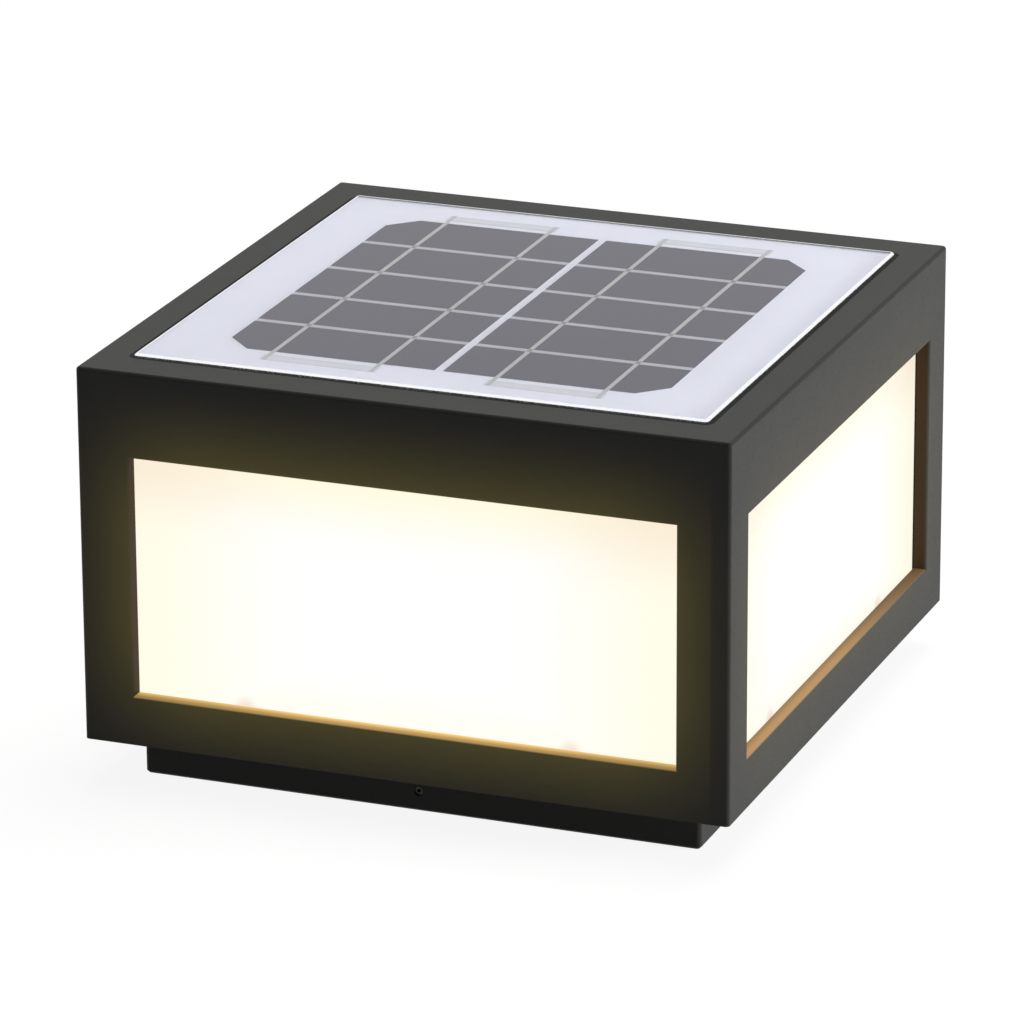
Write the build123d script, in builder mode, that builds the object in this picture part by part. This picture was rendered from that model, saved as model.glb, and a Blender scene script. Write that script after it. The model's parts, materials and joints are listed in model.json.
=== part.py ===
from build123d import *
import os

# A square solar pillar light: a four-window lantern head that lifts off a plinth screwed to the pillar.
# Millimetres, +Z up, the front window faces -Y. The origin is the centre of the plinth's underside.

# Housing, one casting
side = 230
body_height = 132
wall = 3
plan_radius = 1.5
top_radius = 1.2
corner_post = 18.5
top_rail = 30
bottom_rail = 17.5
window_edge_radius = 1

# Window build-up, from the wall's face inwards
reveal = 5.5
lip = 4
seal_thickness = 0.8
seal_setback = 1
diffuser_thickness = 3
diffuser_radius = 1.5

# Clips behind the lower edge of each diffuser
clip_spread = 116
clip_width = 8
clip_sheet = 1.2
clip_rise = 4
boss_width = 12
clip_screw_radius = 1.5
clip_screw_grip = 5
clip_head_radius = 2.75
clip_head_height = 2

# Solar panel, from the ledge up
rim_side = 12
rim_end = 15
panel_gap = 1.7
panel_radius = 1.5
panel_proud = 1
panel_ledge = 9
panel_ledge_thickness = 3
backsheet_thickness = 0.6
bond_thickness = 0.5
glass_thickness = 2
glass_edge = 0.6
glass_seat = 1
seal_sink = 0.1

# Cells, ribbons and bus strips inside the panel
side_margin = 23
end_margin = 20.2
centre_gap = 3
row_gap = 3
cell_rows = 5
cell_corner = 9.5
cell_thickness = 0.25
ribbon_width = 1.6
ribbon_thickness = 0.15
bus_width = 5.5
bus_offset = 3.5
bus_overhang = 0.8

# Junction box under the panel
junction_length = 24
junction_width = 16
junction_height = 6
junction_x = 14
junction_y = 66
junction_radius = 1

# Light tray that hangs under the roof
tray_rise = 1
tray_sheet = 1.5
tray_rim = 10
tray_boss_radius = 4
tray_boss_spread = 120
tray_screw_radius = 1.5
tray_screw_grip = 8
tray_head_radius = 2.75
tray_head_height = 2

# LED board under the tray
led_board_side = 120
led_board_thickness = 1.6
led_board_radius = 3
led_screw_inset = 6
led_screw_radius = 1.25
led_head_radius = 2.3
led_head_height = 1.6
led_rows = 6
led_pitch = 17
led_length = 3.5
led_width = 2.8
led_height = 0.8

# Battery on top of the tray
cell_count = 4
battery_radius = 9.15
battery_length = 65
battery_nub_radius = 3
battery_nub = 0.8
battery_pitch = 20
holder_wall = 2
holder_floor = 1.5
holder_rise = 11
divider = 1.2
divider_rise = 6
contact_sheet = 0.6
contact_width = 12
contact_height = 10
battery_x = 45
battery_y = -20

# Control board on top of the tray
board_length = 60
board_width = 44
board_thickness = 1.6
board_radius = 2
board_x = -50
board_y = 30
standoff_radius = 3
standoff_height = 4
standoff_inset = 4
pin_radius = 1.5
pin_rise = 1.5
chip_side = 8
chip_height = 1.2
coil_side = 10
coil_height = 5
coil_radius = 2
capacitor_radius = 3.2
capacitor_height = 8
capacitor_pitch = 9
plug_width = 8
plug_depth = 6
plug_height = 6
solar_plug_inset = 10

# Leads inside the head
lead_radius = 0.9
lead_bend = 6
grommet_wall = 1.2
grommet_flange = 1.2
grommet_flange_thickness = 1
led_lead_reach = 20
solar_lead_rise = 12
battery_lead_shift = 8
battery_lead_bend = 3.5

# Bottom plate, its gasket and the skirt that drops into the plinth
plate_recess = 1.5
plate_thickness = 2.5
gasket_thickness = 1
gasket_ledge = 4
gasket_ledge_height = 3
skirt_wall = 3
skirt_radius = 3
plate_screw_radius = 2
plate_screw_grip = 10
plate_head_radius = 3.8
reflector_thickness = 1

# Push switch in the bottom plate
switch_inset_x = 47
switch_inset_y = 12
switch_radius = 6
switch_flange_radius = 7.5
switch_flange_thickness = 2
switch_washer_thickness = 1
switch_thread = 9
switch_rear_radius = 5.5
switch_rear = 10
nut_flats = 14
nut_thickness = 2.5
button_radius = 4.25
button_length = 10
button_reach = 3.5
button_edge = 0.8
button_travel = 1.5
button_stop = 1

# Plinth and its two lock screws
base_rise = 16
base_inset = 15
base_wall = 4
base_floor = 3
base_radius = 2
base_edge = 0.8
bolt_spacing = 140
bolt_hole_radius = 3.25
lock_screw_radius = 1.5
lock_screw_height = 7
lock_screw_recess = 0.9
lock_socket_radius = 0.85
lock_socket_depth = 1.5
lock_tip = 0.4

# Cross slots in the screw heads, as shares of a head's radius, and their depth
cross_reach = 1.2
cross_slot = 0.35
cross_depth = 1

# Clearances
seat_play = 0.3
skirt_play = 1
floor_play = 1
thread_play = 0.05
running_play = 0.05
tip_play = 0.1
post_play = 0.5
notch_play = 1
hole_play = 0.3

# Heights
housing_bottom = base_rise
housing_top = housing_bottom + body_height
plate_bottom = housing_bottom + plate_recess
plate_top = plate_bottom + plate_thickness
gasket_top = plate_top + gasket_thickness
window_bottom = housing_bottom + bottom_rail
window_top = housing_top - top_rail
window_height = window_top - window_bottom
window_middle = (window_bottom + window_top) / 2
panel_thickness = backsheet_thickness + bond_thickness + glass_thickness
pocket_floor = housing_top + panel_proud - panel_thickness
roof_underside = pocket_floor - panel_ledge_thickness
backsheet_top = pocket_floor + backsheet_thickness
cell_top = backsheet_top + cell_thickness
glass_top = pocket_floor + panel_thickness
tray_bottom = window_top + tray_rise
tray_top = tray_bottom + tray_sheet
board_bottom = tray_top + standoff_height
board_top = board_bottom + board_thickness
plug_middle = board_top + plug_height / 2

# Plan sizes
inner_side = side - 2 * wall
inner_radius = max(plan_radius - wall, 0.5)
window_width = side - 2 * corner_post
diffuser_width = window_width + 2 * lip
diffuser_height = window_height + 2 * lip
seal_face = reveal - seal_thickness
clip_face = reveal + diffuser_thickness
post_inner = diffuser_width / 2 + post_play
post_side = inner_side / 2 - post_inner
post_at = post_inner + post_side / 2
pocket_width = side - 2 * rim_side
pocket_length = side - 2 * rim_end
pocket_radius = panel_radius + panel_gap
panel_width = pocket_width - 2 * panel_gap
panel_length = pocket_length - 2 * panel_gap
roof_width = pocket_width - 2 * panel_ledge
roof_length = pocket_length - 2 * panel_ledge
tray_side = side - 2 * (clip_face + seat_play)
tray_notch = tray_side / 2 - post_inner + notch_play
tray_boss_x = roof_width + 2 * tray_boss_radius
base_side = side - 2 * base_inset
base_well = base_side - 2 * base_wall
skirt_side = base_well - 2 * skirt_play
skirt_inner = skirt_side - 2 * skirt_wall
plate_side = inner_side - 2 * seat_play
reflector_side = 2 * (post_inner - notch_play)
switch_x = -(skirt_inner / 2 - switch_inset_x)
switch_y = skirt_inner / 2 - switch_inset_y

# Heights of the clips, between the gasket ledge and the diffuser's lower edge
boss_top = window_bottom - lip - seat_play
boss_height = boss_top - gasket_top
clip_screw_height = (gasket_top + boss_top) / 2
clip_top = window_bottom + clip_rise
clip_screw_hole = clip_screw_radius + thread_play

walls = ["front", "right", "back", "left"]


def side_plane(turn, reach, height):
    """A plane that faces out over one wall, counted from the front, at a reach from the middle."""
    outward = Vector(0, -1, 0).rotate(Axis.Z, 90 * turn)
    along = Vector(1, 0, 0).rotate(Axis.Z, 90 * turn)
    return Plane(origin=outward * reach + Vector(0, 0, height), x_dir=along, z_dir=outward)


def cross(head_radius):
    """Draws a driver's cross for one screw head in the sketch that is open."""
    Rectangle(cross_reach * head_radius, cross_slot * head_radius)
    Rectangle(cross_slot * head_radius, cross_reach * head_radius)


os.makedirs("parts", exist_ok=True)

# Housing
with BuildPart() as housing:
    with BuildSketch(Plane.XY.offset(housing_bottom)):
        RectangleRounded(side, side, plan_radius)
    extrude(amount=body_height)
    fillet(housing.faces().sort_by(Axis.Z)[-1].edges(), top_radius)
    with BuildSketch(Plane.XY.offset(housing_bottom)):
        RectangleRounded(inner_side, inner_side, inner_radius)
    extrude(amount=roof_underside - housing_bottom, mode=Mode.SUBTRACT)
    # Posts in the corners, from the gasket to the roof
    with BuildSketch(Plane.XY.offset(gasket_top)):
        with GridLocations(2 * post_at, 2 * post_at, 2, 2):
            Rectangle(post_side, post_side)
        RectangleRounded(inner_side, inner_side, inner_radius, mode=Mode.INTERSECT)
    extrude(amount=roof_underside - gasket_top)
    # Ledge that the gasket seals on
    with BuildSketch(Plane.XY.offset(gasket_top)):
        RectangleRounded(inner_side, inner_side, inner_radius)
        Rectangle(inner_side - 2 * gasket_ledge, inner_side - 2 * gasket_ledge, mode=Mode.SUBTRACT)
    extrude(amount=gasket_ledge_height)
    # Bosses that the light tray hangs from
    with BuildSketch(Plane.XY.offset(tray_top)):
        with GridLocations(tray_boss_x, tray_boss_spread, 2, 2):
            Circle(tray_boss_radius)
    extrude(amount=roof_underside - tray_top)
    # Window frames and clip bosses on the inside of each wall, then the windows
    for turn in range(len(walls)):
        with BuildSketch(side_plane(turn, inner_side / 2, window_middle)):
            Rectangle(diffuser_width, diffuser_height)
        extrude(amount=wall - seal_face)
        with BuildSketch(side_plane(turn, inner_side / 2, clip_screw_height)):
            with GridLocations(clip_spread, 1, 2, 1):
                Rectangle(boss_width, boss_height)
        extrude(amount=wall - clip_face)
        with BuildSketch(side_plane(turn, side / 2, window_middle)):
            Rectangle(window_width, window_height)
        extrude(amount=-reveal, mode=Mode.SUBTRACT)
        with BuildSketch(side_plane(turn, side / 2 - clip_face, clip_screw_height)):
            with GridLocations(clip_spread, 1, 2, 1):
                Circle(clip_screw_hole)
        extrude(amount=clip_screw_grip + thread_play, mode=Mode.SUBTRACT)
        outward = Axis(origin=(0, 0, 0), direction=side_plane(turn, 1, 0).z_dir)
        wall_face = housing.faces().sort_by(outward)[-1]
        fillet(wall_face.inner_wires()[0].edges(), window_edge_radius)
    # Pocket for the panel, and the roof's opening under it
    with BuildSketch(Plane.XY.offset(housing_top)):
        RectangleRounded(pocket_width, pocket_length, pocket_radius)
    extrude(amount=pocket_floor - housing_top, mode=Mode.SUBTRACT)
    with BuildSketch(Plane.XY.offset(roof_underside)):
        RectangleRounded(roof_width, roof_length, pocket_radius)
    extrude(amount=panel_ledge_thickness, mode=Mode.SUBTRACT)
    # Tapped holes
    with BuildSketch(Plane.XY.offset(gasket_top)):
        with GridLocations(2 * post_at, 2 * post_at, 2, 2):
            Circle(plate_screw_radius + thread_play)
    extrude(amount=plate_screw_grip + thread_play, mode=Mode.SUBTRACT)
    with BuildSketch(Plane.XY.offset(tray_top)):
        with GridLocations(tray_boss_x, tray_boss_spread, 2, 2):
            Circle(tray_screw_radius + thread_play)
    extrude(amount=tray_screw_grip + thread_play, mode=Mode.SUBTRACT)
housing.part.label = "housing"
export_step(housing.part, "parts/housing.step")

# Opal diffusers
for turn, wall_name in enumerate(walls):
    with BuildPart() as diffuser:
        with BuildSketch(side_plane(turn, side / 2 - reveal, window_middle)):
            RectangleRounded(diffuser_width, diffuser_height, diffuser_radius)
        extrude(amount=-diffuser_thickness)
    diffuser.part.label = f"diffuser_{wall_name}"
    export_step(diffuser.part, f"parts/diffuser_{wall_name}.step")

# Seal between each diffuser and its window frame
with BuildPart() as diffuser_seals:
    for turn in range(len(walls)):
        with BuildSketch(side_plane(turn, side / 2 - seal_face, window_middle)):
            RectangleRounded(diffuser_width, diffuser_height, diffuser_radius)
            Rectangle(window_width + 2 * seal_setback, window_height + 2 * seal_setback, mode=Mode.SUBTRACT)
        extrude(amount=-seal_thickness)
diffuser_seals.part.label = "diffuser_seals"
export_step(diffuser_seals.part, "parts/diffuser_seals.step")

# Clips behind the diffusers, and their screws
with BuildPart() as diffuser_clips:
    for turn in range(len(walls)):
        with BuildSketch(side_plane(turn, side / 2 - clip_face, gasket_top + seat_play)):
            with GridLocations(clip_spread, 1, 2, 1):
                with Locations((0, (clip_top - clip_width / 2 - gasket_top - seat_play) / 2)):
                    Rectangle(clip_width, clip_top - clip_width / 2 - gasket_top - seat_play)
                with Locations((0, clip_top - clip_width / 2 - gasket_top - seat_play)):
                    Circle(clip_width / 2)
                with Locations((0, clip_screw_height - gasket_top - seat_play)):
                    Circle(clip_screw_hole, mode=Mode.SUBTRACT)
        extrude(amount=-clip_sheet)
diffuser_clips.part.label = "diffuser_clips"
export_step(diffuser_clips.part, "parts/diffuser_clips.step")

with BuildPart() as clip_screws:
    for turn in range(len(walls)):
        head_plane = side_plane(turn, side / 2 - clip_face - clip_sheet, clip_screw_height)
        with BuildSketch(head_plane):
            with GridLocations(clip_spread, 1, 2, 1):
                Circle(clip_head_radius)
        extrude(amount=-clip_head_height)
        with BuildSketch(head_plane):
            with GridLocations(clip_spread, 1, 2, 1):
                Circle(clip_screw_radius)
        extrude(amount=clip_sheet + clip_screw_grip)
        with BuildSketch(head_plane.offset(-clip_head_height)):
            with GridLocations(clip_spread, 1, 2, 1):
                cross(clip_head_radius)
        extrude(amount=cross_depth, mode=Mode.SUBTRACT)
clip_screws.part.label = "clip_screws"
export_step(clip_screws.part, "parts/clip_screws.step")

# Solar panel, from the backsheet up
cell_width = (panel_width - 2 * side_margin - centre_gap) / 2
cell_length = (panel_length - 2 * end_margin - (cell_rows - 1) * row_gap) / cell_rows
array_width = 2 * cell_width + centre_gap
array_length = cell_rows * cell_length + (cell_rows - 1) * row_gap
half_shift = (cell_width + centre_gap) / 2
bus_at = array_length / 2 + bus_offset + bus_width / 2
bus_length = cell_width / 2 + ribbon_width + 2 * bus_overhang

with BuildPart() as solar_backsheet:
    with BuildSketch(Plane.XY.offset(pocket_floor)):
        RectangleRounded(panel_width, panel_length, panel_radius)
    extrude(amount=backsheet_thickness)
solar_backsheet.part.label = "solar_backsheet"
export_step(solar_backsheet.part, "parts/solar_backsheet.step")

with BuildPart() as solar_cells:
    with BuildSketch(Plane.XY.offset(backsheet_top)) as cell_field:
        with GridLocations(cell_width + centre_gap, cell_length + row_gap, 2, cell_rows):
            Rectangle(cell_width, cell_length)
        with BuildSketch(mode=Mode.INTERSECT) as wafer:
            Rectangle(array_width, array_length)
            chamfer(wafer.vertices(), cell_corner)
    extrude(amount=cell_thickness)
solar_cells.part.label = "solar_cells"
export_step(solar_cells.part, "parts/solar_cells.step")

with BuildPart() as bus_ribbons:
    with BuildSketch(Plane.XY.offset(backsheet_top)):
        with GridLocations(2 * half_shift, 2 * bus_at, 2, 2):
            Rectangle(bus_length, bus_width)
    extrude(amount=cell_thickness)
bus_ribbons.part.label = "bus_ribbons"
export_step(bus_ribbons.part, "parts/bus_ribbons.step")

with BuildPart() as cell_ribbons:
    with BuildSketch(Plane.XY.offset(cell_top)):
        with GridLocations(2 * half_shift, 1, 2, 1):
            with GridLocations(cell_width / 2, 1, 2, 1):
                Rectangle(ribbon_width, 2 * bus_at + bus_width)
    extrude(amount=ribbon_thickness)
cell_ribbons.part.label = "cell_ribbons"
export_step(cell_ribbons.part, "parts/cell_ribbons.step")

with BuildPart() as solar_glass:
    with BuildSketch(Plane.XY.offset(backsheet_top)):
        RectangleRounded(panel_width, panel_length, panel_radius)
    extrude(amount=glass_top - backsheet_top)
    chamfer(solar_glass.faces().sort_by(Axis.Z)[-1].edges(), glass_edge)
    # Shallow pocket in its underside, where the cells lie in clear bonding resin
    with BuildSketch(Plane.XY.offset(backsheet_top)):
        Rectangle(panel_width - 2 * glass_seat, panel_length - 2 * glass_seat)
    extrude(amount=bond_thickness, mode=Mode.SUBTRACT)
solar_glass.part.label = "solar_glass"
export_step(solar_glass.part, "parts/solar_glass.step")

with BuildPart() as panel_seal:
    with BuildSketch(Plane.XY.offset(pocket_floor)):
        RectangleRounded(pocket_width, pocket_length, pocket_radius)
        RectangleRounded(panel_width, panel_length, panel_radius, mode=Mode.SUBTRACT)
    extrude(amount=housing_top - seal_sink - pocket_floor)
panel_seal.part.label = "panel_seal"
export_step(panel_seal.part, "parts/panel_seal.step")

with BuildPart() as junction_box:
    with BuildSketch(Plane.XY.offset(pocket_floor)):
        with Locations((junction_x, junction_y)):
            RectangleRounded(junction_length, junction_width, junction_radius)
    extrude(amount=-junction_height)
    fillet(junction_box.faces().sort_by(Axis.Z)[0].edges(), junction_radius)
junction_box.part.label = "junction_box"
export_step(junction_box.part, "parts/junction_box.step")

# Places on the control board where each lead plugs in
solar_plug_x = board_x + board_length / 2 - solar_plug_inset
back_edge = board_y + board_width / 2
front_edge = board_y - board_width / 2
right_edge = board_x + board_length / 2
battery_plug_y = board_y
led_lead_y = front_edge - led_lead_reach

# Light tray with an upturned rim that traps the diffusers' top edges
grommet_radius = lead_radius + running_play + grommet_wall
lead_holes = [(switch_x, switch_y), (board_x, led_lead_y)]
led_screw_spread = led_board_side - 2 * led_screw_inset
with BuildPart() as light_tray:
    with BuildSketch(Plane.XY.offset(tray_bottom)):
        Rectangle(tray_side, tray_side)
        with GridLocations(tray_side - tray_notch, tray_side - tray_notch, 2, 2):
            Rectangle(tray_notch, tray_notch, mode=Mode.SUBTRACT)
    extrude(amount=tray_rim)
    with BuildSketch(Plane.XY.offset(tray_top)):
        Rectangle(tray_side - 2 * tray_sheet, tray_side - 2 * tray_sheet)
    extrude(amount=tray_rim, mode=Mode.SUBTRACT)
    with BuildSketch(Plane.XY.offset(tray_bottom)):
        with GridLocations(tray_boss_x, tray_boss_spread, 2, 2):
            Circle(tray_screw_radius + hole_play)
        with GridLocations(led_screw_spread, led_screw_spread, 2, 2):
            Circle(led_screw_radius + thread_play)
        with Locations(*lead_holes):
            Circle(grommet_radius)
    extrude(amount=tray_sheet, mode=Mode.SUBTRACT)
light_tray.part.label = "light_tray"
export_step(light_tray.part, "parts/light_tray.step")

with BuildPart() as tray_screws:
    with BuildSketch(Plane.XY.offset(tray_bottom)):
        with GridLocations(tray_boss_x, tray_boss_spread, 2, 2):
            Circle(tray_head_radius)
    extrude(amount=-tray_head_height)
    with BuildSketch(Plane.XY.offset(tray_bottom)):
        with GridLocations(tray_boss_x, tray_boss_spread, 2, 2):
            Circle(tray_screw_radius)
    extrude(amount=tray_sheet + tray_screw_grip)
    with BuildSketch(Plane.XY.offset(tray_bottom - tray_head_height)):
        with GridLocations(tray_boss_x, tray_boss_spread, 2, 2):
            cross(tray_head_radius)
    extrude(amount=cross_depth, mode=Mode.SUBTRACT)
tray_screws.part.label = "tray_screws"
export_step(tray_screws.part, "parts/tray_screws.step")

with BuildPart() as lead_grommets:
    with BuildSketch(Plane.XY.offset(tray_bottom)):
        with Locations(*lead_holes):
            Circle(grommet_radius)
    extrude(amount=tray_sheet)
    with BuildSketch(Plane.XY.offset(tray_top)):
        with Locations(*lead_holes):
            Circle(grommet_radius + grommet_flange)
    extrude(amount=grommet_flange_thickness)
    with BuildSketch(Plane.XY.offset(tray_bottom)):
        with Locations(*lead_holes):
            Circle(lead_radius + running_play)
    extrude(amount=tray_sheet + grommet_flange_thickness, mode=Mode.SUBTRACT)
lead_grommets.part.label = "lead_grommets"
export_step(lead_grommets.part, "parts/lead_grommets.step")

# LED board and its chips, facing down
with BuildPart() as led_board:
    with BuildSketch(Plane.XY.offset(tray_bottom)):
        RectangleRounded(led_board_side, led_board_side, led_board_radius)
        with GridLocations(led_screw_spread, led_screw_spread, 2, 2):
            Circle(led_screw_radius + thread_play, mode=Mode.SUBTRACT)
        with Locations((board_x, led_lead_y)):
            Circle(lead_radius + running_play, mode=Mode.SUBTRACT)
    extrude(amount=-led_board_thickness)
led_board.part.label = "led_board"
export_step(led_board.part, "parts/led_board.step")

with BuildPart() as led_chips:
    with BuildSketch(Plane.XY.offset(tray_bottom - led_board_thickness)):
        with GridLocations(led_pitch, led_pitch, led_rows, led_rows):
            Rectangle(led_length, led_width)
    extrude(amount=-led_height)
led_chips.part.label = "led_chips"
export_step(led_chips.part, "parts/led_chips.step")

with BuildPart() as led_board_screws:
    with BuildSketch(Plane.XY.offset(tray_bottom - led_board_thickness)):
        with GridLocations(led_screw_spread, led_screw_spread, 2, 2):
            Circle(led_head_radius)
    extrude(amount=-led_head_height)
    with BuildSketch(Plane.XY.offset(tray_bottom - led_board_thickness)):
        with GridLocations(led_screw_spread, led_screw_spread, 2, 2):
            Circle(led_screw_radius)
    extrude(amount=led_board_thickness + tray_sheet - thread_play)
    with BuildSketch(Plane.XY.offset(tray_bottom - led_board_thickness - led_head_height)):
        with GridLocations(led_screw_spread, led_screw_spread, 2, 2):
            cross(led_head_radius)
    extrude(amount=cross_depth, mode=Mode.SUBTRACT)
led_board_screws.part.label = "led_board_screws"
export_step(led_board_screws.part, "parts/led_board_screws.step")

# Battery holder, contacts and cells
bay_length = battery_length + 2 * (contact_sheet + seat_play)
bay_width = cell_count * battery_pitch
holder_length = bay_length + 2 * holder_wall
holder_width = bay_width + 2 * holder_wall
bay_floor = tray_top + holder_floor
battery_middle = bay_floor + seat_play + battery_radius
with BuildPart() as battery_holder:
    with BuildSketch(Plane.XY.offset(tray_top)):
        with Locations((battery_x, battery_y)):
            Rectangle(holder_length, holder_width)
    extrude(amount=holder_floor + holder_rise)
    with BuildSketch(Plane.XY.offset(bay_floor)):
        with Locations((battery_x, battery_y)):
            Rectangle(bay_length, bay_width)
    extrude(amount=holder_rise, mode=Mode.SUBTRACT)
    with BuildSketch(Plane.XY.offset(bay_floor)):
        with Locations((battery_x, battery_y)):
            with GridLocations(1, battery_pitch, 1, cell_count - 1):
                Rectangle(bay_length, divider)
    extrude(amount=divider_rise)
    # Each cell's own hollow, where it comes down between the dividers
    with BuildSketch(Plane.YZ.offset(battery_x - bay_length / 2)):
        with Locations((battery_y, battery_middle)):
            with GridLocations(battery_pitch, 1, cell_count, 1):
                Circle(battery_radius + seat_play)
    extrude(amount=bay_length, mode=Mode.SUBTRACT)
battery_holder.part.label = "battery_holder"
export_step(battery_holder.part, "parts/battery_holder.step")

with BuildPart() as battery_contacts:
    for end in (-1, 1):
        with BuildSketch(Plane.YZ.offset(battery_x + end * bay_length / 2)):
            with Locations((battery_y, bay_floor + contact_height / 2)):
                with GridLocations(battery_pitch, 1, cell_count, 1):
                    Rectangle(contact_width, contact_height)
        extrude(amount=-end * contact_sheet)
battery_contacts.part.label = "battery_contacts"
export_step(battery_contacts.part, "parts/battery_contacts.step")

with BuildPart() as battery_cells:
    with BuildSketch(Plane.YZ.offset(battery_x - battery_length / 2)):
        with Locations((battery_y, battery_middle)):
            with GridLocations(battery_pitch, 1, cell_count, 1):
                Circle(battery_radius)
    extrude(amount=battery_length - battery_nub)
    with BuildSketch(Plane.YZ.offset(battery_x + battery_length / 2)):
        with Locations((battery_y, battery_middle)):
            with GridLocations(battery_pitch, 1, cell_count, 1):
                Circle(battery_nub_radius)
    extrude(amount=-battery_nub)
battery_cells.part.label = "battery_cells"
export_step(battery_cells.part, "parts/battery_cells.step")

# Control board, its standoffs and what is soldered to it
standoff_x = board_length - 2 * standoff_inset
standoff_y = board_width - 2 * standoff_inset
with BuildPart() as control_board:
    with BuildSketch(Plane.XY.offset(board_bottom)):
        with Locations((board_x, board_y)):
            RectangleRounded(board_length, board_width, board_radius)
            with GridLocations(standoff_x, standoff_y, 2, 2):
                Circle(pin_radius + hole_play, mode=Mode.SUBTRACT)
    extrude(amount=board_thickness)
control_board.part.label = "control_board"
export_step(control_board.part, "parts/control_board.step")

with BuildPart() as board_standoffs:
    with BuildSketch(Plane.XY.offset(tray_top)):
        with Locations((board_x, board_y)):
            with GridLocations(standoff_x, standoff_y, 2, 2):
                Circle(standoff_radius)
    extrude(amount=standoff_height)
    with BuildSketch(Plane.XY.offset(board_bottom)):
        with Locations((board_x, board_y)):
            with GridLocations(standoff_x, standoff_y, 2, 2):
                Circle(pin_radius)
    extrude(amount=board_thickness + pin_rise)
board_standoffs.part.label = "board_standoffs"
export_step(board_standoffs.part, "parts/board_standoffs.step")

with BuildPart() as controller_chip:
    with BuildSketch(Plane.XY.offset(board_top)):
        with Locations((board_x, board_y)):
            Rectangle(chip_side, chip_side)
    extrude(amount=chip_height)
controller_chip.part.label = "controller_chip"
export_step(controller_chip.part, "parts/controller_chip.step")

with BuildPart() as charge_coil:
    with BuildSketch(Plane.XY.offset(board_top)):
        with Locations((board_x - chip_side / 2 - coil_side, board_y)):
            RectangleRounded(coil_side, coil_side, coil_radius)
    extrude(amount=coil_height)
charge_coil.part.label = "charge_coil"
export_step(charge_coil.part, "parts/charge_coil.step")

with BuildPart() as board_capacitors:
    with BuildSketch(Plane.XY.offset(board_top)):
        with Locations((board_x + chip_side / 2 + 2 * capacitor_radius, board_y)):
            with GridLocations(1, capacitor_pitch, 1, 2):
                Circle(capacitor_radius)
    extrude(amount=capacitor_height)
board_capacitors.part.label = "board_capacitors"
export_step(board_capacitors.part, "parts/board_capacitors.step")

with BuildPart() as board_plugs:
    with BuildSketch(Plane.XY.offset(board_top)):
        for plug_x in (solar_plug_x, switch_x):
            with Locations((plug_x, back_edge - plug_depth / 2)):
                Rectangle(plug_width, plug_depth)
        with Locations((board_x, front_edge + plug_depth / 2)):
            Rectangle(plug_width, plug_depth)
        with Locations((right_edge - plug_depth / 2, battery_plug_y)):
            Rectangle(plug_depth, plug_width)
    extrude(amount=plug_height)
board_plugs.part.label = "board_plugs"
export_step(board_plugs.part, "parts/board_plugs.step")

# Leads, each a round twin-core tube
plate_hole = switch_radius + hole_play
switch_flange_bottom = plate_bottom - switch_washer_thickness - switch_flange_thickness
switch_thread_top = plate_top + switch_thread
switch_top = switch_thread_top + switch_rear
junction_middle = pocket_floor - junction_height / 2
junction_end = junction_x - junction_length / 2
holder_end = battery_x - holder_length / 2
holder_lead_y = battery_plug_y - battery_lead_shift
holder_lead_height = tray_top + holder_floor + holder_rise / 2
lead_middle_x = (right_edge + holder_end) / 2

with BuildPart() as switch_lead:
    with BuildLine() as switch_route:
        FilletPolyline(
            (switch_x, back_edge, plug_middle),
            (switch_x, switch_y, plug_middle),
            (switch_x, switch_y, switch_top),
            radius=lead_bend,
        )
    with BuildSketch(Plane(origin=switch_route.line @ 0, z_dir=switch_route.line % 0)):
        Circle(lead_radius)
    sweep()
switch_lead.part.label = "switch_lead"
export_step(switch_lead.part, "parts/switch_lead.step")

with BuildPart() as led_lead:
    with BuildLine() as led_route:
        FilletPolyline(
            (board_x, front_edge, plug_middle),
            (board_x, led_lead_y, plug_middle),
            (board_x, led_lead_y, tray_bottom - led_board_thickness),
            radius=lead_bend,
        )
    with BuildSketch(Plane(origin=led_route.line @ 0, z_dir=led_route.line % 0)):
        Circle(lead_radius)
    sweep()
led_lead.part.label = "led_lead"
export_step(led_lead.part, "parts/led_lead.step")

with BuildPart() as battery_lead:
    with BuildLine() as battery_route:
        FilletPolyline(
            (right_edge, battery_plug_y, plug_middle),
            (lead_middle_x, battery_plug_y, plug_middle),
            (lead_middle_x, holder_lead_y, holder_lead_height),
            (holder_end, holder_lead_y, holder_lead_height),
            radius=battery_lead_bend,
        )
    with BuildSketch(Plane(origin=battery_route.line @ 0, z_dir=battery_route.line % 0)):
        Circle(lead_radius)
    sweep()
battery_lead.part.label = "battery_lead"
export_step(battery_lead.part, "parts/battery_lead.step")

with BuildPart() as solar_lead:
    with BuildLine() as solar_route:
        FilletPolyline(
            (solar_plug_x, back_edge, plug_middle),
            (solar_plug_x, junction_y, plug_middle),
            (junction_end - solar_lead_rise, junction_y, junction_middle),
            (junction_end, junction_y, junction_middle),
            radius=lead_bend,
        )
    with BuildSketch(Plane(origin=solar_route.line @ 0, z_dir=solar_route.line % 0)):
        Circle(lead_radius)
    sweep()
solar_lead.part.label = "solar_lead"
export_step(solar_lead.part, "parts/solar_lead.step")

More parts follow.
